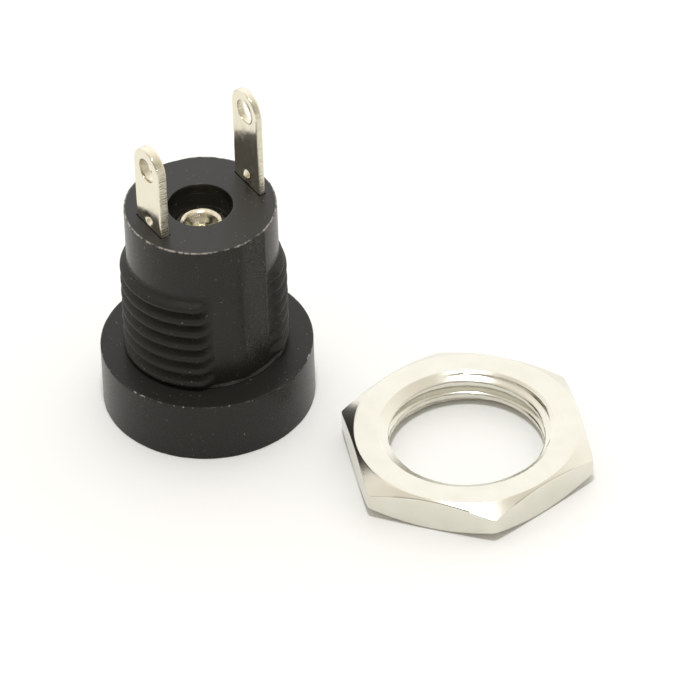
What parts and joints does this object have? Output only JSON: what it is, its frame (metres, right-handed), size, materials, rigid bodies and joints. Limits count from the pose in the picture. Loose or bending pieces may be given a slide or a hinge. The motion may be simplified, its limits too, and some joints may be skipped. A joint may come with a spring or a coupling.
{
  "type": "dc barrel jack",
  "caption": "Panel-mount DC power socket: flanged threaded plastic body with a centre pin, a sleeve contact spring, solder lugs behind and a loose hex fixing nut.",
  "frame": {"origin": "centre of the socket's mouth, on the front face of the flange", "axes": "+Z along the plug's axis from the front face to the solder lugs, +Y towards the sleeve terminal, +X out of one smooth band"},
  "size_m": [0.0303, 0.0259, 0.0233],
  "materials": {
    "black_plastic": "moulded, satin",
    "plated_pin": "nickel plated",
    "plated_terminal": "bright tin plated",
    "plated_nut": "satin nickel plated"
  },
  "bodies": {
    "root": {"housing": "black_plastic", "centre_pin": "plated_pin", "pin_terminal": "plated_terminal", "sleeve_terminal": "plated_terminal", "hex_nut": "plated_nut"}
  },
  "joints": []
}
